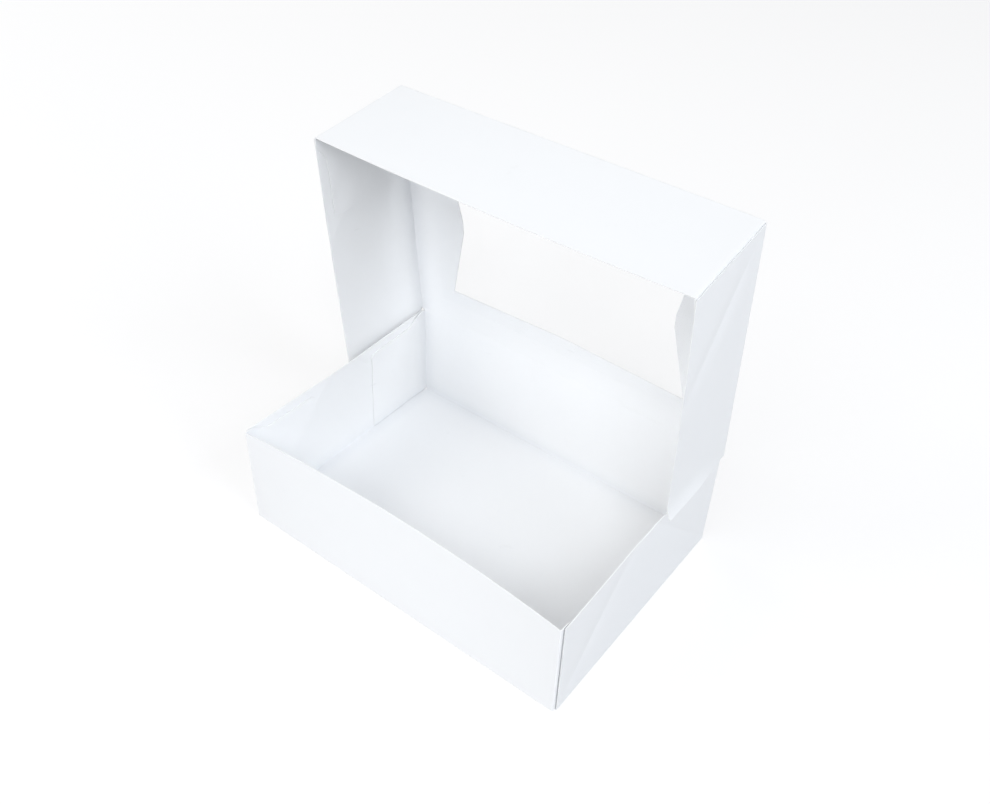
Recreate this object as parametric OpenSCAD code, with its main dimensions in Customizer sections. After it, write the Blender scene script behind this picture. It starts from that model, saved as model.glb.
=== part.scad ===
// Windowed bakery box of white paperboard, standing with its lid open.
// Millimetres. The origin is the middle of the tray's underside, X runs along the
// long side, +Y points to the hinge side and +Z points up.
// The box is folded from one sheet. The sheet is drawn as two solids, the tray and
// the lid, which meet at the hinge crease along the top of the back wall.

/* [Tray] */
// Outside length of the tray
box_length = 203.2; // [160:0.2:260]
// Outside depth of the tray, from front to back
box_depth = 144; // [120:1:200]
// Height of the tray's walls
box_height = 62; // [45:1:80]
// Thickness of the paperboard
board_t = 0.45; // [0.35:0.05:0.7]
// Inside radius of a folded edge
fold_inner_r = 0.35; // [0.2:0.05:0.8]
// How far the front wall's top edge bows inwards at mid length
front_bow = 5; // [0:0.5:7]

/* [Corners] */
// Length of a glued corner tab along the side wall
tab_length = 49; // [30:1:55]
// How far the tab's top edge lies below the wall's free edge
tab_drop = 5.6; // [2:0.2:9]
// Distance from the fold over which the tab keeps the wall's full height
tab_shoulder = 5.3; // [3:0.1:7]
// Distance from the fold at which the tab's top edge has come down
tab_slope_end = 14.7; // [10:0.1:20]
// Cut at the free corner of a tab
tab_corner_cut = 2; // [0.5:0.5:4]
// Gap between a tab's lower edge and the panel it stands over
tab_foot_gap = 0.5; // [0.3:0.1:2]
// Open slit between a folded corner and the cut end of the side wall
slit_width = 1; // [0.4:0.1:2]
// Height of the small cut at the rear top corner of a tray side wall
notch_height = 3; // [1:0.5:5]
// Width of the small cut at the rear top corner of a tray side wall
notch_width = 1.5; // [0.5:0.5:3]

/* [Lid] */
// Clearance between the lid's corner tabs and the tray's side walls
lid_clearance = 0.2; // [0.15:0.05:1]
// How far the closed lid reaches past the tray's front wall
lid_overhang = 2.6; // [2.2:0.1:5]
// Height of the lid's free edges above the table when it is closed
lid_table_gap = 0.4; // [0.3:0.1:3]
// How far the free edge of the lid's front wall bows inwards at mid length
lid_bow = 1.6; // [0:0.1:1.6]
// Distance from the hinge plane to a side wall's free corner at the hinge end
lid_side_taper = 6; // [5:0.5:14]
// Distance from the hinge plane to the foot of a lid side wall
lid_side_start = 1.8; // [1.2:0.1:3]
// Gap between the tray's top edges and the closed lid
hinge_gap = 0.2; // [0.15:0.05:0.4]
// Opening angle of the lid, counted from closed
lid_open = 84.7; // [0:0.1:180]

/* [Window] */
// Widest width of the window
window_width = 151; // [100:1:156]
// Board left between the window and the hinge, and between it and the front fold
window_margin = 25.7; // [20:0.1:40]
// How far the window's short sides are pinched in at mid height
window_side_pinch = 9.5; // [0:0.5:15]
// How far the window's long sides are pinched in at mid length
window_long_pinch = 2.8; // [0:0.1:6]
// Length of the blunt piece in the middle of a pinched side
window_blunt = 8; // [2:1:20]
// Width of the glued border of the clear film
film_border = 9; // [5:1:11]
// Thickness of the clear film
film_t = 0.1; // [0.05:0.05:0.2]

/* [Creases] */
// Depth of the diagonal creases pressed into the outside of the side walls
crease_depth = 0.12; // [0.05:0.01:0.2]
// Radius of the rule that presses the creases
crease_rule_r = 0.7; // [0.4:0.1:1.2]

/* [Hidden] */
fold_r = fold_inner_r + board_t;
side_setback = fold_r + slit_width;
// straight run of board beside a vertical fold, before the bow starts
corner_run = 1;
bow_columns = 24;
bow_rows = 4;
// how far a cutting body runs past what it cuts
past = 1;
hinge_y = box_depth / 2 - board_t / 2;
hinge_z = box_height + hinge_gap + board_t / 2;
// the lid's side walls pass outside the tray's, with the lid's own tabs between them
lid_length = box_length + 2 * (lid_clearance + 2 * board_t);
lid_depth = box_depth + lid_overhang;
lid_height = box_height + hinge_gap + board_t - lid_table_gap;
window_height = lid_depth - 2 * window_margin;

// Outline of a folded strip's outside: a width w with both lower corners rounded by r.
module rounded_foot(w, h, r) {
    translate([-w / 2, r])
        square([w, h - r]);
    translate([-w / 2 + r, 0])
        square([w - 2 * r, h]);
    for (s = [-1, 1])
        translate([s * (w / 2 - r), r])
            circle(r, $fn = 48);
}

// Section of a strip folded up at both ends, standing h high.
module channel_section(w, h) {
    difference() {
        rounded_foot(w, h, fold_r);
        translate([0, board_t])
            rounded_foot(w - 2 * board_t, h + past, fold_inner_r);
    }
}

// Plan of the two folded corners of an end wall and its tabs. The wall's outside is
// at y = 0, the tabs run to +Y, and w is the distance over the tabs' outside faces.
module corner_plan(w) {
    middle = w - 2 * (fold_r + corner_run);
    difference() {
        rounded_foot(w, tab_length, fold_r);
        translate([0, board_t])
            rounded_foot(w - 2 * board_t, tab_length + past, fold_inner_r);
        translate([-middle / 2, -past])
            square([middle, board_t + 2 * past]);
    }
}

// Side view of a vertical fold and its tab, with the fold's foot rounded off.
module tab_outline(h) {
    top = h - tab_drop;
    foot = board_t + tab_foot_gap;
    intersection() {
        square([fold_r, h]);
        union() {
            translate([0, fold_r])
                square([fold_r, h - fold_r]);
            translate([fold_r, fold_r])
                circle(fold_r, $fn = 48);
        }
    }
    polygon([
        [fold_r, foot],
        [tab_length, foot],
        [tab_length, top - tab_corner_cut],
        [tab_length - tab_corner_cut, top],
        [tab_slope_end, top],
        [tab_shoulder, h],
        [fold_r, h]
    ]);
}

// Inward bow of a wall: none at its foot and ends, full at the middle of its free edge.
function bow_at(x, z, half, h, bow) =
    bow * max(0, 1 - pow(x / half, 2)) * (z - fold_r) / (h - fold_r);

// Wall sheet between the two folded corners, with its free edge bowed inwards.
module bowed_sheet(w, h, bow) {
    half = w / 2 - fold_r - corner_run;
    reach = w / 2 - fold_r;
    inner_x = [for (i = [0:bow_columns]) half * (2 * i / bow_columns - 1)];
    xs = concat([-reach], inner_x, [reach]);
    zs = [for (j = [0:bow_rows]) fold_r + (h - fold_r) * j / bow_rows];
    columns = len(xs);
    rows = len(zs);
    outer = [for (z = zs, x = xs) [x, bow_at(x, z, half, h, bow), z]];
    inner = [for (p = outer) p + [0, board_t, 0]];
    back = len(outer);
    front_faces = [for (j = [0:rows - 2], i = [0:columns - 2])
        let (a = j * columns + i)
        each [[a, a + columns + 1, a + 1], [a, a + columns, a + columns + 1]]];
    back_faces = [for (f = front_faces) [f[0] + back, f[2] + back, f[1] + back]];
    foot_faces = [for (i = [0:columns - 2]) [i, i + 1, i + 1 + back, i + back]];
    top_row = (rows - 1) * columns;
    top_faces = [for (i = [0:columns - 2])
        let (a = top_row + i)
        [a, a + back, a + 1 + back, a + 1]];
    left_faces = [for (j = [0:rows - 2])
        let (a = j * columns)
        [a, a + back, a + columns + back, a + columns]];
    right_faces = [for (j = [0:rows - 2])
        let (a = j * columns + columns - 1)
        [a, a + columns, a + columns + back, a + back]];
    polyhedron(
        points = concat(outer, inner),
        faces = concat(front_faces, back_faces, foot_faces, top_faces, left_faces, right_faces)
    );
}

// End wall with its folded corners and glued tabs. Its outside is at y = 0.
module end_wall(w, h, bow) {
    reach = w / 2 - fold_r;
    intersection() {
        linear_extrude(h)
            corner_plan(w);
        rotate([90, 0, 90])
            translate([0, 0, -w / 2 - past])
                linear_extrude(w + 2 * past)
                    tab_outline(h);
    }
    // the plain run of wall between the folds and the bowed sheet
    for (s = [-1, 1])
        translate([s * (reach - corner_run / 2) - corner_run / 2, 0, fold_r])
            cube([corner_run, board_t, h - fold_r]);
    if (bow > 0)
        bowed_sheet(w, h, bow);
    else
        translate([-reach, 0, fold_r])
            cube([2 * reach, board_t, h - fold_r]);
}

// Rule that presses a crease into a wall's outer face. It starts at the folded corner
// and runs up at 45 degrees, in the plane x = 0, towards +Y.
module crease_rule(h) {
    start = side_setback * sqrt(2);
    rotate([-45, 0, 0])
        translate([0, 0, start])
            cylinder(r = crease_rule_r, h = (h + past) * sqrt(2) - start, $fn = 32);
}

module tray() {
    tab_width = box_length - 2 * board_t;
    side_run = box_depth - 2 * side_setback;
    rule_x = box_length / 2 + crease_rule_r - crease_depth;
    color([0.95, 0.95, 0.94])
    difference() {
        union() {
            // base and side walls
            rotate([90, 0, 0])
                translate([0, 0, -side_run / 2])
                    linear_extrude(side_run)
                        channel_section(box_length, box_height);
            // base with the folds at the foot of the front and back walls
            rotate([90, 0, 90])
                translate([0, 0, -(tab_width / 2 - fold_r)])
                    linear_extrude(tab_width - 2 * fold_r)
                        channel_section(box_depth, fold_r + corner_run);
            translate([0, -box_depth / 2, 0])
                end_wall(tab_width, box_height, front_bow);
            translate([0, box_depth / 2, 0])
                mirror([0, 1, 0])
                    end_wall(tab_width, box_height, 0);
        }
        // diagonal creases that let the side walls fold flat
        for (s = [-1, 1]) {
            translate([s * rule_x, -box_depth / 2, 0])
                crease_rule(box_height);
            translate([s * rule_x, box_depth / 2, 0])
                mirror([0, 1, 0])
                    crease_rule(box_height);
        }
        // small cuts at the rear top corners of the side walls
        for (s = [-1, 1])
            translate([s * box_length / 2, box_depth / 2 - side_setback, box_height])
                rotate([90, 0, 90])
                    translate([0, 0, -board_t])
                        linear_extrude(2 * board_t)
                            polygon([[past, past], [-notch_width, past], [-notch_width, 0], [0, -notch_height],
                                     [past, -notch_height]]);
    }
}

// Window outline, pinched in on all four sides. y = 0 is its edge at the front fold.
module window_outline() {
    x = window_width / 2;
    y = window_height;
    side = x - window_side_pinch;
    blunt = window_blunt / 2;
    polygon([
        [-x, 0],
        [-blunt, window_long_pinch],
        [blunt, window_long_pinch],
        [x, 0],
        [side, y / 2 - blunt],
        [side, y / 2 + blunt],
        [x, y],
        [blunt, y - window_long_pinch],
        [-blunt, y - window_long_pinch],
        [-x, y],
        [-side, y / 2 + blunt],
        [-side, y / 2 - blunt]
    ]);
}

// Side view of what is cut from the hinge end of the lid's side walls.
module hinge_end_cut() {
    polygon([
        [lid_depth - lid_side_start, fold_r],
        [lid_depth - lid_side_taper, lid_height],
        [lid_depth - lid_side_taper, lid_height + past],
        [lid_depth + past, lid_height + past],
        [lid_depth + past, fold_r]
    ]);
}

// Lid lying on its outside face, walls up. The front fold is at y = 0, the hinge at +Y.
module lid_flat() {
    tab_width = lid_length - 2 * board_t;
    side_run = lid_depth - side_setback - lid_side_start;
    rule_x = lid_length / 2 + crease_rule_r - crease_depth;
    difference() {
        union() {
            // panel and side walls
            rotate([90, 0, 0])
                translate([0, 0, -side_setback - side_run])
                    linear_extrude(side_run)
                        channel_section(lid_length, lid_height);
            // panel from the front fold to the rounded hinge edge
            rotate([90, 0, 90])
                translate([0, 0, -(tab_width / 2 - fold_r)])
                    linear_extrude(tab_width - 2 * fold_r) {
                        intersection() {
                            translate([box_depth, 0])
                                channel_section(2 * box_depth, fold_r + corner_run);
                            square([lid_depth - board_t / 2, fold_r + corner_run]);
                        }
                        translate([lid_depth - board_t / 2, board_t / 2])
                            circle(d = board_t, $fn = 32);
                    }
            end_wall(tab_width, lid_height, lid_bow);
        }
        translate([0, window_margin, -past])
            linear_extrude(board_t + 2 * past)
                window_outline();
        rotate([90, 0, 90])
            translate([0, 0, -lid_length])
                linear_extrude(2 * lid_length)
                    hinge_end_cut();
        for (s = [-1, 1])
            translate([s * rule_x, 0, 0])
                crease_rule(lid_height);
    }
}

// Puts a piece drawn on the flat lid where the open lid is.
module at_hinge() {
    translate([0, hinge_y, hinge_z])
        rotate([-lid_open, 0, 0])
            translate([0, board_t / 2 - lid_depth, board_t / 2])
                mirror([0, 0, 1])
                    children();
}

module lid() {
    color([0.96, 0.96, 0.95])
        at_hinge()
            lid_flat();
}

module window_film() {
    film_width = window_width + 2 * film_border;
    film_height = window_height + 2 * film_border;
    color([0.8, 0.88, 0.95, 0.4])
        at_hinge()
            translate([-film_width / 2, window_margin - film_border, board_t])
                cube([film_width, film_height, film_t]);
}

tray();
lid();
window_film();
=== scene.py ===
"""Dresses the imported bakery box: two folded sheets of white board, the hinge crease and a clear window film."""
import math

import bmesh
import bpy
from mathutils import Matrix, Vector


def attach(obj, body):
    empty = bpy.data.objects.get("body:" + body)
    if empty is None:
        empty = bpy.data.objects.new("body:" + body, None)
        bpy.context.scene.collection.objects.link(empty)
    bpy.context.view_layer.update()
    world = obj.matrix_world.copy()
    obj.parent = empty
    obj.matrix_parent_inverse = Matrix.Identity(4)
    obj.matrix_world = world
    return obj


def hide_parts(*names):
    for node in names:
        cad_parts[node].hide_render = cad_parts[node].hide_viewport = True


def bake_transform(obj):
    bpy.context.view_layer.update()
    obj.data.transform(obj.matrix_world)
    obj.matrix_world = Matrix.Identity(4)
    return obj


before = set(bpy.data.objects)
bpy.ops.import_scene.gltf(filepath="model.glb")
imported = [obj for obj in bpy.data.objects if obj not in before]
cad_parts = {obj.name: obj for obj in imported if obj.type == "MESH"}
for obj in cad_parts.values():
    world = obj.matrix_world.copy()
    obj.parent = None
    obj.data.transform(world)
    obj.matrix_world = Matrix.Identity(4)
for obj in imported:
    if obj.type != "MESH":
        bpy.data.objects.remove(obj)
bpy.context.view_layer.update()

MM = 0.001

# The board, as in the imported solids
BOARD = 0.45 * MM
FOLD_OUTER = 0.8 * MM
FOLD_MIDDLE = FOLD_OUTER - BOARD / 2
FOLD_STEPS = 4
FOLD_TURN = math.radians(90) / FOLD_STEPS
FOLD_STEP = 2 * FOLD_MIDDLE * math.tan(FOLD_TURN / 2)
FOLD_RUN = FOLD_STEPS * FOLD_STEP

# Corner tabs: places along the tab are counted from the outside of the end wall. The fold of a tab is tucked in from
# its side wall by the tuck, and the rest of the tab lies a hair's breadth from that wall
TAB_LENGTH = 49 * MM
TAB_DROP = 5.6 * MM
TAB_SHOULDER = 5.3 * MM
TAB_SLOPE_END = 14.7 * MM
TAB_CORNER = 2 * MM
TAB_FOOT = 0.95 * MM
TAB_HAIR = 0.06 * MM
TRAY_TUCK = 0.55 * MM
LID_TUCK = 0.12 * MM

# Half sizes of the tray, and the hinge line
HALF_LENGTH = 101.6 * MM
HALF_DEPTH = 72 * MM
TRAY_HEIGHT = 62 * MM
HINGE_Y = HALF_DEPTH - BOARD / 2
HINGE_Z = 62.425 * MM
LID_OPEN = math.radians(84.7)
CELL = 4 * MM

# Diagonal creases: how far to each side they bend the wall, how deep the dip is, how far the wall leans between them,
# and how far from the crease its two outer cuts run
CREASE_WIDE = 10 * MM
TRAY_DIP = 0.6 * MM
LID_DIP = 0.9 * MM
TRAY_FACET = 1.4 * MM
LID_FACET = 1.2 * MM
SCORE = 0.6 * MM

# Distance over which a tab comes out from its fold to its side wall
SPREAD_REACH = 14 * MM

# Bow of the free edges of the front walls, and half the length over which they bow
TRAY_BOW = 5 * MM
TRAY_BOW_HALF = 99.35 * MM
LID_BOW = 1.6 * MM
LID_BOW_HALF = 100.45 * MM

# Side walls of the lid: how far the left one spreads, how far the free edge of the front wall is pushed to the right
# and which share of that the left corner takes, and the curl of the right wall's hinge end
LEFT_LEAN = 1.2 * MM
CORNER_PUSH = 2 * MM
LEFT_SHARE = 0.03
END_CURL = 2.5 * MM
CURL_REACH = 9 * MM


class Blank:
    """Places of the fold lines of a flat sheet. Side walls fold at x = +-side, end walls at y = front and back."""

    def __init__(self, level, side, end, front, back, walls_from, walls_to, height, turn, has_back):
        self.level = level
        self.side = side
        self.end = end
        self.front = front
        self.back = back
        self.walls_from = walls_from
        self.walls_to = walls_to
        self.height = height
        self.rise = height - FOLD_OUTER
        self.turn = turn
        self.has_back = has_back
        self.side_edge = side + FOLD_RUN + self.rise
        self.front_edge = front - FOLD_RUN - self.rise
        self.back_edge = back + FOLD_RUN + self.rise if has_back else back
        self.tab_edge = end + FOLD_RUN + TAB_LENGTH - FOLD_OUTER

    def ends(self):
        """Each end wall as its fold line and the direction in which it runs out."""
        return [(self.front, -1), (self.back, 1)] if self.has_back else [(self.front, -1)]

    def beyond(self, place):
        """How far a flat place lies past the nearer end fold line."""
        return max((place.y - line) * out for line, out in self.ends())

    def on_end(self, place):
        return abs(place.x) < self.end and self.beyond(place) > 0

    def on_tab(self, place):
        return abs(place.x) > self.end and self.beyond(place) > 0

    def on_side(self, place):
        return abs(place.x) > self.side and self.walls_from < place.y < self.walls_to

    def on_base(self, place):
        return abs(place.x) < self.side and self.beyond(place) < 0

    def wall_height(self, place):
        """Height above the panel's outside of a flat place on a side wall."""
        return abs(place.x) - self.side - FOLD_RUN + FOLD_OUTER

    def end_height(self, place):
        """Height above the panel's outside of a flat place on an end wall or tab."""
        return self.beyond(place) - FOLD_RUN + FOLD_OUTER

    def along_tab(self, place):
        """Distance of a flat place on a tab from the outside of its end wall."""
        return abs(place.x) - self.end - FOLD_RUN + FOLD_OUTER


TRAY = Blank(level=BOARD / 2, side=HALF_LENGTH - FOLD_OUTER, end=HALF_LENGTH - BOARD - FOLD_OUTER - TRAY_TUCK,
             front=FOLD_OUTER - HALF_DEPTH, back=HALF_DEPTH - FOLD_OUTER,
             walls_from=-69.9 * MM, walls_to=70.2 * MM, height=TRAY_HEIGHT, turn=1, has_back=True)
LID_HALF = 102.7 * MM
LID_FRONT = -74.6 * MM
LID = Blank(level=HINGE_Z, side=LID_HALF - FOLD_OUTER, end=LID_HALF - BOARD - FOLD_OUTER - LID_TUCK,
            front=LID_FRONT + FOLD_OUTER, back=HINGE_Y,
            walls_from=-73.35 * MM, walls_to=75.3 * MM, height=62.25 * MM, turn=-1, has_back=False)


# --- helpers for work in edit mode

def start_edit(piece):
    bpy.ops.object.select_all(action="DESELECT")
    piece.select_set(True)
    bpy.context.view_layer.objects.active = piece
    bpy.ops.object.mode_set(mode="EDIT")
    bpy.ops.mesh.select_mode(type="FACE")
    bpy.ops.mesh.select_all(action="DESELECT")


def end_edit():
    bpy.ops.object.mode_set(mode="OBJECT")


def pick_faces(piece, test):
    """Selects the faces whose middle passes the test, and says how many they are."""
    bpy.ops.mesh.select_mode(type="FACE")
    bpy.ops.mesh.select_all(action="DESELECT")
    mesh = bmesh.from_edit_mesh(piece.data)
    count = 0
    for face in mesh.faces:
        if test(face.calc_center_median()):
            face.select_set(True)
            count += 1
    bmesh.update_edit_mesh(piece.data)
    return count


def cut(piece, test, point, across):
    """Cuts the faces that pass the test along a line through point, square to across."""
    if pick_faces(piece, test):
        bpy.ops.mesh.bisect(plane_co=(point[0], point[1], 0), plane_no=(across[0], across[1], 0), threshold=1e-7)


def cut_x(piece, test, x):
    cut(piece, test, (x, 0), (1, 0))


def cut_y(piece, test, y):
    cut(piece, test, (0, y), (0, 1))


def drop_faces(piece, test):
    if pick_faces(piece, test):
        bpy.ops.mesh.delete(type="FACE")


def everywhere(place):
    """The test that every face passes."""
    return True


def smooth(share):
    """Eases a share from 0 to 1."""
    share = min(1, max(0, share))
    return share * share * (3 - 2 * share)


def steps_between(low, high, size=CELL):
    """Places that divide a stretch into equal parts of about the given size, its ends left out."""
    count = max(1, round((high - low) / size))
    return [low + (high - low) * i / count for i in range(1, count)]


def fold_places(start):
    """Distances of the fold's turning lines, counted outwards from where the flat panel ends."""
    return [start + (i + 0.5) * FOLD_STEP for i in range(FOLD_STEPS)]


def new_sheet(name, low, high, level):
    """Adds a flat plane from corner low to corner high."""
    bpy.ops.object.select_all(action="DESELECT")
    bpy.ops.mesh.primitive_plane_add(size=1, location=((low[0] + high[0]) / 2, (low[1] + high[1]) / 2, level))
    piece = bpy.context.object
    piece.name = name
    piece.data.name = name
    piece.scale = (high[0] - low[0], high[1] - low[1], 1)
    bpy.ops.object.transform_apply(location=True, rotation=True, scale=True)
    return piece


# --- the flat blank

def cut_blank(piece, blank):
    """Cuts the plane along every fold line and edge of the blank, and drops the waste."""
    for x in (blank.end, blank.side):
        for s in (-1, 1):
            cut_x(piece, everywhere, s * x)
    for x in (-blank.side - FOLD_RUN, blank.side + FOLD_RUN):
        cut_x(piece, everywhere, x)
    for y in (blank.walls_from, blank.walls_to, blank.back):
        cut_y(piece, everywhere, y)
    for line, out in blank.ends():
        cut_y(piece, everywhere, line)
        cut_y(piece, lambda p: abs(p.x) > blank.end, line + out * (FOLD_RUN - FOLD_OUTER + TAB_FOOT))
    for s in (-1, 1):
        cut_x(piece, blank.on_tab, s * blank.tab_edge)
    foot = FOLD_RUN - FOLD_OUTER + TAB_FOOT

    def waste(place):
        x = abs(place.x)
        past = blank.beyond(place)
        if not blank.has_back and place.y > blank.back and x < blank.side + FOLD_RUN:
            return True
        if x < blank.end:
            return False
        if blank.walls_from < place.y < blank.walls_to:
            return False
        return past < foot or x > blank.tab_edge
    drop_faces(piece, waste)

    # grid over the base, the end walls and the side walls
    wide = lambda p: abs(p.x) < blank.end
    middle_rows = lambda p: blank.walls_from < p.y < blank.walls_to
    for x in steps_between(-blank.end, blank.end):
        cut_x(piece, wide, x)
    for y in steps_between(blank.walls_from, blank.walls_to):
        cut_y(piece, middle_rows, y)
    for height in [FOLD_OUTER] + steps_between(FOLD_OUTER, blank.height):
        for s in (-1, 1):
            cut_x(piece, blank.on_side, s * (blank.side + FOLD_RUN + height - FOLD_OUTER))
        for line, out in blank.ends():
            cut_y(piece, lambda p: (p.y - line) * out > 0, line + out * (FOLD_RUN + height - FOLD_OUTER))
    for along in [FOLD_OUTER] + steps_between(FOLD_OUTER, TAB_LENGTH):
        for s in (-1, 1):
            cut_x(piece, blank.on_tab, s * (blank.end + FOLD_RUN + along - FOLD_OUTER))

    # turning lines of the folds
    for s in (-1, 1):
        for x in fold_places(blank.side):
            cut_x(piece, blank.on_side, s * x)
        for x in fold_places(blank.end):
            cut_x(piece, blank.on_tab, s * x)
    for line, out in blank.ends():
        for run in fold_places(0):
            cut_y(piece, lambda p: (p.y - line) * out > 0, line + out * run)


def trim_tabs(piece, blank):
    """Slopes the top of each corner tab down from its fold, and cuts off its free corner."""
    top = blank.height - TAB_DROP
    for line, out in blank.ends():
        for s in (-1, 1):
            here = lambda p: blank.on_tab(p) and p.x * s > 0 and (p.y - line) * out > 0

            def spot(along, height):
                return (s * (blank.end + FOLD_RUN + along - FOLD_OUTER),
                        line + out * (FOLD_RUN + height - FOLD_OUTER))
            slope = (TAB_SLOPE_END - TAB_SHOULDER, -TAB_DROP)
            cut(piece, here, spot(TAB_SHOULDER, blank.height), (-slope[1] * s, slope[0] * out))
            cut(piece, here, spot(0, top), (0, 1))
            cut(piece, here, spot(TAB_LENGTH, top - TAB_CORNER), (s, out))

    def waste(place):
        if not blank.on_tab(place):
            return False
        along = blank.along_tab(place)
        height = blank.end_height(place)
        over_slope = height > blank.height - TAB_DROP * (along - TAB_SHOULDER) / (TAB_SLOPE_END - TAB_SHOULDER)
        over_corner = along + height > TAB_LENGTH + top - TAB_CORNER
        return (over_slope and height > top) or over_corner
    drop_faces(piece, waste)


def crease_lines(blank):
    """Diagonal creases on the side walls, as a point and a direction across each, in the flat sheet."""
    lines = []
    foot = blank.side + FOLD_RUN - FOLD_OUTER
    for s in (-1, 1):
        for line, out in blank.ends():
            lines.append(((s * foot, line + out * FOLD_OUTER), (s, out)))
    return lines


def score_creases(piece, blank):
    """Cuts three close lines along each diagonal crease, so that it can be pressed in."""
    for point, across in crease_lines(blank):
        here = lambda p: blank.on_side(p) and p.x * across[0] > 0 and p.y * across[1] > 0
        for off in (-SCORE, 0, SCORE):
            spot = (point[0] + off * across[0], point[1])
            cut(piece, here, spot, across)


def store_flat(piece):
    """Keeps each point's place in the flat sheet, which the folds and the materials read."""
    flat = piece.data.attributes.new("flat", "FLOAT_VECTOR", "POINT")
    for vertex in piece.data.vertices:
        flat.data[vertex.index].vector = vertex.co


def turn_points(piece, test, angle, axis, centre):
    """Turns the points whose flat place passes the test about an axis through centre."""
    bpy.ops.mesh.select_mode(type="VERT")
    bpy.ops.mesh.select_all(action="DESELECT")
    mesh = bmesh.from_edit_mesh(piece.data)
    flat = mesh.verts.layers.float_vector["flat"]
    for vertex in mesh.verts:
        if test(vertex[flat]):
            vertex.select_set(True)
    mesh.select_flush(True)
    bmesh.update_edit_mesh(piece.data)
    # with no window the operator turns against its value
    bpy.ops.transform.rotate(value=-angle, orient_axis=axis, orient_type="GLOBAL", center_override=centre)


def fold_up(piece, blank):
    """Folds the tabs, then the end walls, then the side walls, each round its turning lines from the outside in."""
    near = 1e-6
    turn = FOLD_TURN * blank.turn
    for s in (-1, 1):
        for x in reversed(fold_places(blank.end)):
            tab = lambda p: p.x * s > x - near and blank.beyond(p) > FOLD_RUN - FOLD_OUTER
            turn_points(piece, tab, -s * turn, "Y", (s * x, 0, blank.level))
    for line, out in blank.ends():
        for run in reversed(fold_places(0)):
            wall = lambda p: (p.y - line) * out > run - near
            turn_points(piece, wall, out * turn, "X", (0, line + out * run, blank.level))
    for s in (-1, 1):
        for x in reversed(fold_places(blank.side)):
            wall = lambda p: p.x * s > x - near and blank.beyond(p) < 0
            turn_points(piece, wall, -s * turn, "Y", (s * x, 0, blank.level))


def press(piece, depth, direction, share):
    """Pushes the sheet by depth along an axis, times share, a number up to 1, of each flat place."""
    amounts = [share(Vector(point.vector)) for point in piece.data.attributes["flat"].data]
    group = piece.vertex_groups.new(name="press")
    for index, amount in enumerate(amounts):
        if amount > 0:
            group.add([index], min(amount, 1), "REPLACE")
    push = piece.modifiers.new("Press", "DISPLACE")
    push.vertex_group = group.name
    push.direction = direction
    push.mid_level = 0
    push.strength = depth
    bpy.ops.object.modifier_apply(modifier=push.name)
    piece.vertex_groups.clear()


def thicken(piece, materials, thickness=BOARD):
    """Gives the sheet its thickness: the first material on its upper side, then its lower side, then its cut edge."""
    bpy.context.view_layer.objects.active = piece
    for material in materials:
        piece.data.materials.append(material)
    solid = piece.modifiers.new("Thickness", "SOLIDIFY")
    solid.thickness = thickness
    solid.offset = 0
    solid.use_even_offset = True
    solid.material_offset = 1
    solid.material_offset_rim = 2
    bpy.ops.object.modifier_apply(modifier=solid.name)
    soft = piece.modifiers.new("Edges", "BEVEL")
    soft.width = min(0.05 * MM, thickness / 4)
    soft.segments = 1
    soft.limit_method = "ANGLE"
    soft.angle_limit = math.radians(60)
    bpy.ops.object.modifier_apply(modifier=soft.name)
    bpy.ops.object.shade_smooth_by_angle(angle=math.radians(40))


def swing_open(piece):
    """Turns a piece that was made on the closed lid about the hinge, to where the lid stands at rest."""
    start_edit(piece)
    bpy.ops.mesh.select_all(action="SELECT")
    bpy.ops.transform.rotate(value=LID_OPEN, orient_axis="X", orient_type="GLOBAL",
                             center_override=(0, HINGE_Y, HINGE_Z))
    end_edit()


def folded_board(name, blank):
    low = (-blank.side_edge, blank.front_edge)
    high = (blank.side_edge, max(blank.back_edge, blank.walls_to))
    piece = new_sheet(name, low, high, blank.level)
    start_edit(piece)
    cut_blank(piece, blank)
    trim_tabs(piece, blank)
    score_creases(piece, blank)
    end_edit()
    return piece


# --- materials

def socket_group(name, inputs, outputs):
    tree = bpy.data.node_groups.new(name, "ShaderNodeTree")
    for label, kind, default in inputs:
        socket = tree.interface.new_socket(label, in_out="INPUT", socket_type=kind)
        if default is not None:
            socket.default_value = default
    for label, kind in outputs:
        tree.interface.new_socket(label, in_out="OUTPUT", socket_type=kind)
    return tree, tree.nodes.new("NodeGroupInput"), tree.nodes.new("NodeGroupOutput")


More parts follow.
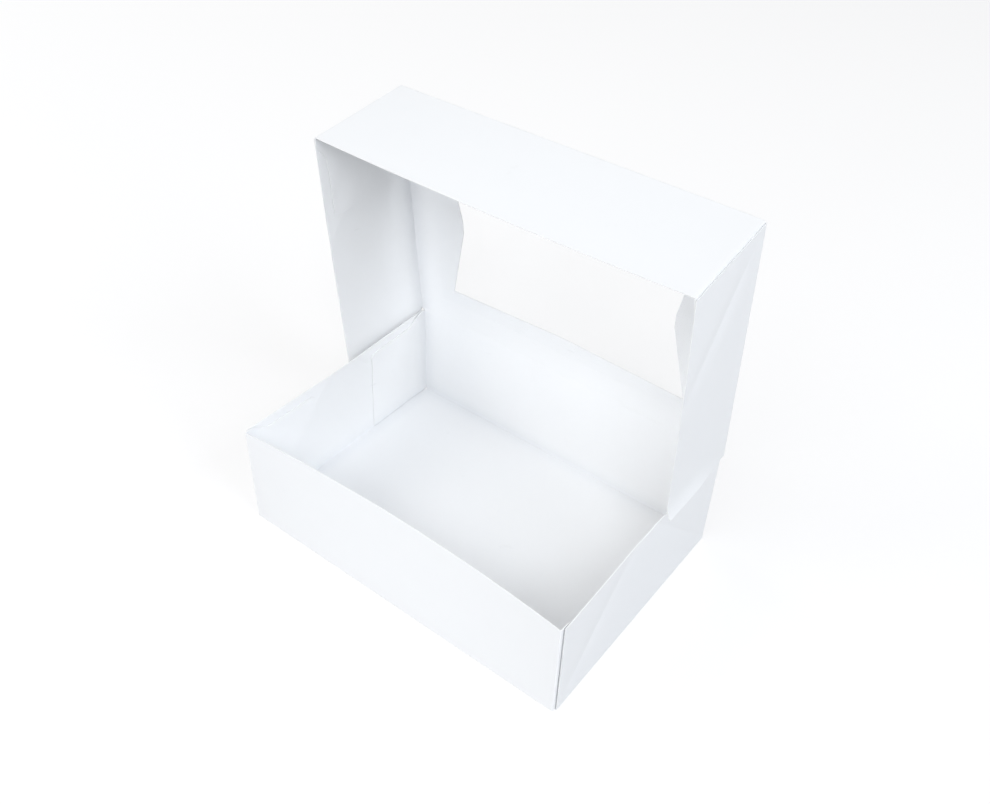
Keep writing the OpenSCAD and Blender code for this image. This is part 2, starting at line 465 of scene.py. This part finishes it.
def fibre_group():
    """Cloudiness and fine grain of paper: a colour between two tones, and a height for the bump."""
    tree, given, result = socket_group(
        "Paper fibre",
        [("Light tone", "NodeSocketColor", None), ("Dark tone", "NodeSocketColor", None),
         ("Grain", "NodeSocketFloat", 0.5)],
        [("Colour", "NodeSocketColor"), ("Height", "NodeSocketFloat")])
    nodes, link = tree.nodes, tree.links.new
    place = nodes.new("ShaderNodeTexCoord")
    cloud = nodes.new("ShaderNodeTexNoise")
    cloud.inputs["Scale"].default_value = 90
    cloud.inputs["Detail"].default_value = 4
    grain = nodes.new("ShaderNodeTexNoise")
    grain.inputs["Scale"].default_value = 1900
    grain.inputs["Detail"].default_value = 3
    stretch = nodes.new("ShaderNodeMapping")
    stretch.inputs["Scale"].default_value = (0.35, 1, 1)
    tone = nodes.new("ShaderNodeMix")
    tone.data_type = "RGBA"
    both = nodes.new("ShaderNodeMath")
    both.operation = "MULTIPLY_ADD"
    link(place.outputs["Object"], cloud.inputs["Vector"])
    link(place.outputs["Object"], stretch.inputs["Vector"])
    link(stretch.outputs["Vector"], grain.inputs["Vector"])
    link(cloud.outputs["Fac"], tone.inputs["Factor"])
    link(given.outputs["Light tone"], tone.inputs["A"])
    link(given.outputs["Dark tone"], tone.inputs["B"])
    link(tone.outputs["Result"], result.inputs["Colour"])
    link(grain.outputs["Fac"], both.inputs[0])
    link(given.outputs["Grain"], both.inputs[1])
    link(cloud.outputs["Fac"], both.inputs[2])
    link(both.outputs["Value"], result.inputs["Height"])
    return tree


def marks_and_painted_light_group():
    """Masks on a folded sheet: its folds and diagonal creases, lighter from cracked coating and a painted highlight,
    painted shade near its folds, and small scuffs.
    """
    tree, given, result = socket_group(
        "Fold marks and painted light",
        [("Side fold", "NodeSocketFloat", 0.1), ("Front fold", "NodeSocketFloat", -0.07),
         ("Back fold", "NodeSocketFloat", 0.07)],
        [("Folds", "NodeSocketFloat"), ("Painted shade", "NodeSocketFloat"), ("Creases", "NodeSocketFloat"),
         ("Scuffs", "NodeSocketFloat")])
    nodes, link = tree.nodes, tree.links.new

    def maths(operation, first, second=None, third=None):
        node = nodes.new("ShaderNodeMath")
        node.operation = operation
        for socket, value in zip(node.inputs, (first, second, third)):
            if value is None:
                continue
            if isinstance(value, (int, float)):
                socket.default_value = value
            else:
                link(value, socket)
        return node.outputs["Value"]

    def line(distance, width):
        """1 on a line, falling to 0 at the given distance from it."""
        share = nodes.new("ShaderNodeMapRange")
        share.interpolation_type = "SMOOTHSTEP"
        share.inputs["From Min"].default_value = 0
        share.inputs["From Max"].default_value = width
        share.inputs["To Min"].default_value = 1
        share.inputs["To Max"].default_value = 0
        link(distance, share.inputs["Value"])
        return share.outputs["Result"]

    def patches(scale, low, high, squeeze=(1, 1, 1)):
        """Soft-edged patches of a noise pattern."""
        mapping = nodes.new("ShaderNodeMapping")
        mapping.inputs["Scale"].default_value = squeeze
        link(place.outputs["Object"], mapping.inputs["Vector"])
        noise = nodes.new("ShaderNodeTexNoise")
        noise.inputs["Scale"].default_value = scale
        noise.inputs["Detail"].default_value = 3
        link(mapping.outputs["Vector"], noise.inputs["Vector"])
        share = nodes.new("ShaderNodeMapRange")
        share.inputs["From Min"].default_value = low
        share.inputs["From Max"].default_value = high
        link(noise.outputs["Fac"], share.inputs["Value"])
        return share.outputs["Result"]

    place = nodes.new("ShaderNodeTexCoord")
    flat = nodes.new("ShaderNodeAttribute")
    flat.attribute_name = "flat"
    split = nodes.new("ShaderNodeSeparateXYZ")
    link(flat.outputs["Vector"], split.inputs["Vector"])
    across = maths("ABSOLUTE", split.outputs["X"])
    front = maths("SUBTRACT", given.outputs["Front fold"], split.outputs["Y"])
    back = maths("SUBTRACT", split.outputs["Y"], given.outputs["Back fold"])
    past_end = maths("MAXIMUM", front, back)
    past_side = maths("SUBTRACT", across, given.outputs["Side fold"])
    from_end = maths("ABSOLUTE", maths("SUBTRACT", past_end, FOLD_RUN / 2))
    from_side = maths("ABSOLUTE", maths("SUBTRACT", past_side, FOLD_RUN / 2))
    from_fold = maths("MINIMUM", from_end, from_side)
    fold_dashes = patches(160, 0.35, 0.65)
    # Lighter dashes along the folds: cracked coating, partly a painted highlight. The same mask also makes them
    # duller and raised
    link(maths("MULTIPLY", line(from_fold, 1.3 * MM), fold_dashes), result.inputs["Folds"])
    # Painted shade: darkening within 11 mm of each fold, standing in for the shade in the inner corners
    link(line(from_fold, 11 * MM), result.inputs["Painted shade"])
    on_wall = maths("GREATER_THAN", past_side, FOLD_RUN)
    off_crease = maths("ABSOLUTE", maths("SUBTRACT", maths("ADD", past_side, past_end), FOLD_RUN))
    crease = maths("MULTIPLY", line(off_crease, 0.75 * MM), on_wall)
    # Lighter broken line along each diagonal crease: cracked coating, partly a painted highlight
    link(maths("MULTIPLY", crease, patches(60, 0.42, 0.58)), result.inputs["Creases"])
    link(patches(70, 0.7, 0.76, (1, 1, 4)), result.inputs["Scuffs"])
    return tree


def board_material(name, fold_lines, light, dark, grain, bump, roughness, cracks_and_highlight=0.0, painted_shade=0.0):
    """Coated or bare paperboard. fold_lines are the places of the side, front and back folds in the flat sheet,
    and the last two arguments give how much lighter the folds and creases are, from cracked coating and a painted
    highlight, and how much painted shade darkens the board near its folds."""
    material = bpy.data.materials.new(name)
    material.use_nodes = True
    nodes, link = material.node_tree.nodes, material.node_tree.links.new
    shader = nodes["Principled BSDF"]
    shader.inputs["Specular IOR Level"].default_value = 0.22
    paper = nodes.new("ShaderNodeGroup")
    paper.node_tree = fibre
    paper.inputs["Light tone"].default_value = light
    paper.inputs["Dark tone"].default_value = dark
    paper.inputs["Grain"].default_value = grain
    fold_marks = nodes.new("ShaderNodeGroup")
    fold_marks.node_tree = marks_and_painted_light
    for label, value in zip(("Side fold", "Front fold", "Back fold"), fold_lines):
        fold_marks.inputs[label].default_value = value

    def tinted(colour, mask, tone, amount):
        """Mixes a tone into a colour where a mask is high."""
        share = nodes.new("ShaderNodeMath")
        share.operation = "MULTIPLY"
        share.inputs[1].default_value = amount
        mix = nodes.new("ShaderNodeMix")
        mix.data_type = "RGBA"
        mix.inputs["B"].default_value = tone
        link(mask, share.inputs[0])
        link(share.outputs["Value"], mix.inputs["Factor"])
        link(colour, mix.inputs["A"])
        return mix.outputs["Result"]

    # Painted shade darkens the board near its folds; cracked coating and a painted highlight lighten its folds and
    # creases
    colour = tinted(paper.outputs["Colour"], fold_marks.outputs["Painted shade"], (0.83, 0.85, 0.88, 1), painted_shade)
    colour = tinted(colour, fold_marks.outputs["Folds"], (0.965, 0.97, 0.975, 1), cracks_and_highlight)
    colour = tinted(colour, fold_marks.outputs["Creases"], (0.97, 0.973, 0.976, 1), cracks_and_highlight)
    colour = tinted(colour, fold_marks.outputs["Scuffs"], (0.87, 0.88, 0.89, 1), 0.6)
    link(colour, shader.inputs["Base Color"])
    dull = nodes.new("ShaderNodeMath")
    dull.operation = "MAXIMUM"
    link(fold_marks.outputs["Folds"], dull.inputs[0])
    link(fold_marks.outputs["Creases"], dull.inputs[1])
    gloss = nodes.new("ShaderNodeMapRange")
    gloss.inputs["To Min"].default_value = roughness
    gloss.inputs["To Max"].default_value = 0.85
    link(dull.outputs["Value"], gloss.inputs["Value"])
    link(gloss.outputs["Result"], shader.inputs["Roughness"])
    grain_relief = nodes.new("ShaderNodeBump")
    grain_relief.inputs["Strength"].default_value = bump
    grain_relief.inputs["Distance"].default_value = 0.02 * MM
    rub_relief = nodes.new("ShaderNodeBump")
    rub_relief.inputs["Strength"].default_value = 0.5
    rub_relief.inputs["Distance"].default_value = 0.05 * MM
    link(paper.outputs["Height"], grain_relief.inputs["Height"])
    link(dull.outputs["Value"], rub_relief.inputs["Height"])
    link(grain_relief.outputs["Normal"], rub_relief.inputs["Normal"])
    link(rub_relief.outputs["Normal"], shader.inputs["Normal"])
    return material


fibre = fibre_group()
marks_and_painted_light = marks_and_painted_light_group()

# Place of a fold that a sheet doesn't have, well past its edge
FAR = 1


def board_finishes(name, lines, cracks_and_highlight=0.6, painted_shade=0.4):
    """Coated outside, bare inside and cut edge of one sheet with the given side, front and back folds."""
    # The outside gets the painted highlight on its folds and creases, the inside gets the painted shade near its
    # folds
    coated = board_material(name + " outside", lines, light=(0.925, 0.935, 0.948, 1), dark=(0.915, 0.926, 0.94, 1),
                            grain=0.35, bump=0.5, roughness=0.42, cracks_and_highlight=cracks_and_highlight)
    bare = board_material(name + " inside", lines, light=(0.95, 0.958, 0.968, 1), dark=(0.94, 0.949, 0.96, 1),
                          grain=0.8, bump=0.6, roughness=0.6, painted_shade=painted_shade)
    cut_edge = board_material(name + " cut edge", lines, light=(0.945, 0.95, 0.952, 1), dark=(0.9, 0.905, 0.903, 1),
                              grain=1.0, bump=1.0, roughness=0.8)
    return coated, bare, cut_edge


clear = bpy.data.materials.new("Clear film")
clear.use_nodes = True
clear_nodes = clear.node_tree.nodes
clear_shader = clear_nodes["Principled BSDF"]
clear_shader.inputs["Base Color"].default_value = (0.9, 0.94, 0.97, 1)
clear_shader.inputs["Metallic"].default_value = 1
clear_shader.inputs["Roughness"].default_value = 0.04
clear_shader.inputs["IOR"].default_value = 1.5
glance = clear_nodes.new("ShaderNodeLayerWeight")
glance.inputs["Blend"].default_value = 0.3
veil = clear_nodes.new("ShaderNodeMath")
veil.operation = "MULTIPLY_ADD"
veil.inputs[1].default_value = 0.035
veil.inputs[2].default_value = 0.008
clear.node_tree.links.new(glance.outputs["Facing"], veil.inputs[0])
clear.node_tree.links.new(veil.outputs["Value"], clear_shader.inputs["Alpha"])


# --- the tray

def wall_facets(blank, hand):
    """Share of the lean of one side wall, and of the tabs glued to it, between and beside its diagonal creases."""
    def share(place):
        if place.x * hand < 0:
            return 0
        if blank.on_side(place):
            height = blank.wall_height(place)
            front = place.y - (blank.front - FOLD_OUTER)
            back = blank.back + FOLD_OUTER - place.y if blank.has_back else blank.height
            return max(0, min(height, front, back)) / blank.height
        if blank.on_tab(place):
            return max(0, min(blank.end_height(place), blank.along_tab(place))) / blank.height
        return 0
    return share


def crease_dip(blank, hand):
    """Share of the dip along the diagonal creases of one side wall, which the tabs glued to it follow."""
    def share(place):
        if place.x * hand < 0:
            return 0
        if blank.on_side(place):
            height = blank.wall_height(place)
            along = place.y - (blank.front - FOLD_OUTER)
            if blank.has_back:
                along = min(along, blank.back + FOLD_OUTER - place.y)
        elif blank.on_tab(place):
            height = blank.end_height(place)
            along = blank.along_tab(place)
        else:
            return 0
        off = abs(height - along) / math.sqrt(2)
        along_crease = (height - FOLD_OUTER) / blank.rise
        return max(0, 1 - off / CREASE_WIDE) ** 1.5 * smooth(2 * along_crease) * (1 - 0.6 * along_crease ** 3)
    return share


def tab_spread(blank, hand):
    """Brings a tab from its fold, which is tucked in, out to the side wall that it is glued to."""
    def share(place):
        if not blank.on_tab(place) or place.x * hand < 0:
            return 0
        return smooth((blank.along_tab(place) - 2 * FOLD_OUTER) / SPREAD_REACH)
    return share


tray = folded_board("tray_board", TRAY)
store_flat(tray)
start_edit(tray)
fold_up(tray, TRAY)
end_edit()


def tray_bow(place):
    """The front wall bows inwards, most in the middle of its free edge."""
    if not TRAY.on_end(place) or place.y > 0:
        return 0
    height = max(0, TRAY.end_height(place) - FOLD_OUTER)
    return max(0, 1 - (place.x / TRAY_BOW_HALF) ** 2) * height / TRAY.rise


press(tray, TRAY_BOW, "Y", tray_bow)
for hand in (-1, 1):
    press(tray, -hand * TRAY_FACET, "X", wall_facets(TRAY, hand))
    press(tray, -hand * TRAY_DIP, "X", crease_dip(TRAY, hand))
    press(tray, hand * (TRAY_TUCK - TAB_HAIR), "X", tab_spread(TRAY, hand))
coated, bare, cut_edge = board_finishes("Tray board", (TRAY.side, TRAY.front, TRAY.back))
thicken(tray, (bare, coated, cut_edge))
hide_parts("tray")
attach(tray, "tray")

# --- the lid, made closed and then swung open about the hinge

lid = folded_board("lid_board", LID)

WINDOW_HALF = 75.5 * MM
WINDOW_NEAR = 25.7 * MM
WINDOW_DEEP = 95.2 * MM
SIDE_PINCH = 9.5 * MM
LONG_PINCH = 2.8 * MM
BLUNT = 4 * MM
window_front = LID_FRONT + WINDOW_NEAR
window_back = window_front + WINDOW_DEEP
window_middle = (window_front + window_back) / 2
side = WINDOW_HALF - SIDE_PINCH
WINDOW = [(-WINDOW_HALF, window_front), (-BLUNT, window_front + LONG_PINCH), (BLUNT, window_front + LONG_PINCH),
          (WINDOW_HALF, window_front), (side, window_middle - BLUNT), (side, window_middle + BLUNT),
          (WINDOW_HALF, window_back), (BLUNT, window_back - LONG_PINCH), (-BLUNT, window_back - LONG_PINCH),
          (-WINDOW_HALF, window_back), (-side, window_middle + BLUNT), (-side, window_middle - BLUNT)]


def in_window(place):
    """Whether a place lies inside the window's outline."""
    inside_it = False
    for (x0, y0), (x1, y1) in zip(WINDOW, WINDOW[1:] + WINDOW[:1]):
        if (y0 > place.y) != (y1 > place.y) and place.x < x0 + (x1 - x0) * (place.y - y0) / (y1 - y0):
            inside_it = not inside_it
    return inside_it


def cut_window(piece):
    margin = 3 * MM
    for (x0, y0), (x1, y1) in zip(WINDOW, WINDOW[1:] + WINDOW[:1]):
        low_x, high_x = min(x0, x1) - margin, max(x0, x1) + margin
        low_y, high_y = min(y0, y1) - margin, max(y0, y1) + margin
        here = lambda p: LID.on_base(p) and low_x < p.x < high_x and low_y < p.y < high_y
        cut(piece, here, (x0, y0), (y1 - y0, x0 - x1))
    drop_faces(piece, lambda p: LID.on_base(p) and in_window(p))


# Hinge end of each side wall of the lid, as corners: share of the way from its fold to its free edge, and place in y.
# The hinge is at HINGE_Y
RIGHT_END = [(0, 70.6 * MM), (1, 60 * MM)]
LEFT_END = [(0, 71.7 * MM), (0.05, 74 * MM), (1, 75 * MM)]


def end_corners(hand):
    return RIGHT_END if hand > 0 else LEFT_END


def hinge_end(hand, share):
    """Where a side wall of the lid ends beside the hinge."""
    corners = end_corners(hand)
    for (share0, y0), (share1, y1) in zip(corners, corners[1:]):
        if share <= share1:
            return y0 + (y1 - y0) * (share - share0) / (share1 - share0)
    return corners[-1][1]


def cut_hinge_ends(piece):
    """Slopes the hinge end of each side wall: the right one stops short of the hinge, the left one runs past it."""
    for s in (-1, 1):
        corners = end_corners(s)
        for (share0, y0), (share1, y1) in zip(corners, corners[1:]):
            fold = LID.side + FOLD_RUN
            low, high = fold + share0 * LID.rise, fold + share1 * LID.rise
            if 0 < share0:
                cut_x(piece, lambda p: LID.on_side(p) and p.y > LID.back - 4 * MM and p.x * s > 0, s * low)
            here = lambda p: LID.on_side(p) and low < p.x * s < high and p.y > 0.05
            cut(piece, here, (s * low, y0), (-(y1 - y0) * s, high - low))
    drop_faces(piece, lambda p: LID.on_side(p)
               and p.y > hinge_end(p.x, (LID.wall_height(p) - FOLD_OUTER) / LID.rise))


start_edit(lid)
cut_window(lid)
cut_hinge_ends(lid)
end_edit()
store_flat(lid)
start_edit(lid)
fold_up(lid, LID)
end_edit()


def lid_bow(place):
    """The lid's front wall bows like the tray's, but less."""
    if not LID.on_end(place):
        return 0
    height = max(0, LID.end_height(place) - FOLD_OUTER)
    return max(0, 1 - (place.x / LID_BOW_HALF) ** 2) * height / LID.rise


def from_hinge(place):
    """Distance of a flat place from the hinge, as a share of the lid's depth."""
    return (HINGE_Y - place.y) / (HINGE_Y - LID.front)


def wall_share(place):
    """How high a flat place stands on a side wall, from 0 at its fold to 1 at its free edge."""
    return max(0, LID.wall_height(place) - FOLD_OUTER) / LID.rise


def left_lean(place):
    """The left wall spreads outwards towards the hinge, where nothing holds it."""
    if not LID.on_side(place) or place.x > 0:
        return 0
    return smooth(4 * wall_share(place)) * min(1, max(0, 1 - from_hinge(place))) ** 1.2


def left_share(place):
    return LEFT_SHARE if place.x < 0 else 1


def corner_shift(place):
    """The free edge of the front wall is pushed to the right, its right corner the most."""
    across = LEFT_SHARE + (1 - LEFT_SHARE) * (place.x / LID_HALF + 1) / 2
    if LID.on_end(place):
        return across * max(0, LID.end_height(place) - FOLD_OUTER) / LID.rise
    if LID.on_tab(place):
        near = max(0, 1 - LID.along_tab(place) / (LID.walls_to - LID.front))
        return left_share(place) * near * max(0, LID.end_height(place) - FOLD_OUTER) / LID.rise
    if LID.on_side(place):
        return left_share(place) * min(1, from_hinge(place)) * wall_share(place)
    return 0


def right_curl(place):
    """The right wall's free end beside the hinge curls outwards."""
    if not LID.on_side(place) or place.x < 0:
        return 0
    from_end = hinge_end(1, wall_share(place)) - place.y
    return max(0, 1 - from_end / CURL_REACH) ** 1.5 * smooth(1.6 * wall_share(place))


press(lid, LID_BOW, "Y", lid_bow)
for hand in (-1, 1):
    press(lid, hand * LID_FACET, "X", wall_facets(LID, hand))
    press(lid, -hand * LID_DIP, "X", crease_dip(LID, hand))
    press(lid, hand * (LID_TUCK - TAB_HAIR), "X", tab_spread(LID, hand))
press(lid, -LEFT_LEAN, "X", left_lean)
press(lid, CORNER_PUSH, "X", corner_shift)
press(lid, END_CURL, "X", right_curl)
coated, bare, cut_edge = board_finishes("Lid board", (LID.side, LID.front, FAR))
thicken(lid, (coated, bare, cut_edge))
swing_open(lid)
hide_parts("lid")
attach(lid, "lid")

# --- the hinge crease, one strip of board that bends between the back wall and the lid

# The strip reaches a little over both halves, and is a little thicker than the board on each side
CREASE_HALF = 101.3 * MM
CREASE_REACH = 1.3 * MM
CREASE_CELL = 0.2 * MM
CREASE_EXTRA = 0.05 * MM
crease = new_sheet("hinge_crease", (-CREASE_HALF, HINGE_Y - CREASE_REACH), (CREASE_HALF, HINGE_Y + CREASE_REACH),
                   HINGE_Z)
start_edit(crease)
for y in steps_between(HINGE_Y - CREASE_REACH, HINGE_Y + CREASE_REACH, CREASE_CELL):
    cut_y(crease, everywhere, y)
for x in steps_between(-CREASE_HALF, CREASE_HALF):
    cut_x(crease, everywhere, x)
end_edit()
store_flat(crease)
start_edit(crease)
turn_points(crease, lambda p: p.y > HINGE_Y, math.radians(-90), "X", (0, HINGE_Y, HINGE_Z))
turn_points(crease, lambda p: p.y < HINGE_Y, -LID_OPEN, "X", (0, HINGE_Y, HINGE_Z))
end_edit()
# No painted shade beside the hinge crease
coated, bare, cut_edge = board_finishes("Hinge board", (FAR, -FAR, HINGE_Y - FOLD_RUN / 2), painted_shade=0)
thicken(crease, (coated, bare, cut_edge), BOARD + 2 * CREASE_EXTRA)
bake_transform(crease)

# --- the window film, made on the closed lid and swung open with it

FILM_HALF = 84.5 * MM
FILM_BORDER = 9 * MM
FILM_LEVEL = 62.15 * MM
FILM = 0.08 * MM
FILM_CELL = 3 * MM
FILM_SLACK = 0.6 * MM
film = new_sheet("clear_film", (-FILM_HALF, window_front - FILM_BORDER), (FILM_HALF, window_back + FILM_BORDER),
                 FILM_LEVEL)
start_edit(film)
for x in steps_between(-FILM_HALF, FILM_HALF, FILM_CELL):
    cut_x(film, everywhere, x)
for y in steps_between(window_front - FILM_BORDER, window_back + FILM_BORDER, FILM_CELL):
    cut_y(film, everywhere, y)
end_edit()
store_flat(film)


def slack(place):
    """Slight slack of the film inside the window, none on its glued border."""
    in_x = max(0, 1 - (place.x / (side - 2 * MM)) ** 2)
    in_y = max(0, 1 - ((place.y - window_middle) / (WINDOW_DEEP / 2 - LONG_PINCH)) ** 2)
    ripple = 0.5 + 0.3 * math.sin(place.x * 70 + place.y * 25) + 0.2 * math.sin(place.y * 90 - place.x * 30)
    return min(1, 3 * in_x) * min(1, 3 * in_y) * ripple


press(film, -FILM_SLACK, "Z", slack)
thicken(film, (clear,), FILM)
swing_open(film)
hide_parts("window_film")
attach(film, "lid")

# --- camera, floor and light. The floor's glow shows to the camera and in gloss, and gives no other light

camera_data = bpy.data.cameras.new("Camera")
camera = bpy.data.objects.new("Camera", camera_data)
bpy.context.scene.collection.objects.link(camera)
right = Vector((0.7908, 0.6114, 0.0279)).normalized()
forward = Vector((-0.45, 0.6118, -0.6505)).normalized()
up = right.cross(forward)
camera.location = (0.24161, -0.31845, 0.43322)
camera.rotation_euler = Matrix((right, up, -forward)).transposed().to_euler()
camera_data.lens = 38.18
camera_data.sensor_width = 36
camera_data.clip_start = 0.01
bpy.context.scene.camera = camera

bpy.ops.object.select_all(action="DESELECT")
bpy.ops.mesh.primitive_plane_add(size=6, location=(0, 0, 0))
floor = bpy.context.object
floor.name = "floor"
floor_material = bpy.data.materials.new("White floor")
floor_material.use_nodes = True
floor_nodes = floor_material.node_tree.nodes
floor_shader = floor_nodes["Principled BSDF"]
floor_shader.inputs["Base Color"].default_value = (0.42, 0.42, 0.425, 1)
floor_shader.inputs["Roughness"].default_value = 0.9
floor_shader.inputs["Specular IOR Level"].default_value = 0.1
floor_shader.inputs["Emission Color"].default_value = (1, 1, 1, 1)
path = floor_nodes.new("ShaderNodeLightPath")
mirrored = floor_nodes.new("ShaderNodeMath")
mirrored.operation = "MAXIMUM"
seen = floor_nodes.new("ShaderNodeMath")
seen.operation = "MAXIMUM"
glow = floor_nodes.new("ShaderNodeMath")
glow.operation = "MULTIPLY"
glow.inputs[1].default_value = 0.6
floor_link = floor_material.node_tree.links.new
floor_link(path.outputs["Is Glossy Ray"], mirrored.inputs[0])
floor_link(path.outputs["Is Transmission Ray"], mirrored.inputs[1])
floor_link(path.outputs["Is Camera Ray"], seen.inputs[0])
floor_link(mirrored.outputs["Value"], seen.inputs[1])
floor_link(seen.outputs["Value"], glow.inputs[0])
floor_link(glow.outputs["Value"], floor_shader.inputs["Emission Strength"])
floor.data.materials.append(floor_material)

world = bpy.data.worlds.new("Studio")
bpy.context.scene.world = world
world.use_nodes = True
world.node_tree.nodes["Background"].inputs["Color"].default_value = (0.97, 0.98, 1, 1)
world.node_tree.nodes["Background"].inputs["Strength"].default_value = 0.25


def softbox(name, place, aim, width, height, watts, colour=(1, 1, 1)):
    data = bpy.data.lights.new(name, "AREA")
    data.shape = "RECTANGLE"
    data.size = width
    data.size_y = height
    data.energy = watts
    data.color = colour
    lamp = bpy.data.objects.new(name, data)
    bpy.context.scene.collection.objects.link(lamp)
    lamp.location = place
    lamp.rotation_euler = (Vector(aim) - Vector(place)).to_track_quat("-Z", "Y").to_euler()
    return lamp


BOX_MIDDLE = (0, 0, 0.05)
COOL = (0.92, 0.955, 1)
PLAIN = (0.955, 0.975, 1)
WARM = (0.985, 0.965, 0.93)
softbox("Right softbox", (2.4, 0, 1.7), BOX_MIDDLE, 1.8, 1.8, 43, COOL)
softbox("Left softbox", (-2.4, 0, 1.7), BOX_MIDDLE, 1.8, 1.8, 19, WARM)
softbox("Front left softbox", (-1.8, -1.8, 1.8), BOX_MIDDLE, 1.6, 1.6, 26, WARM)
softbox("Low front softbox", (0, -2.6, 0.55), BOX_MIDDLE, 1.3, 1.3, 20.5, PLAIN)
softbox("Front right softbox", (1.3, -1.7, 2.2), BOX_MIDDLE, 1.2, 1.2, 31.5, PLAIN)

bpy.context.scene.view_settings.view_transform = "Standard"
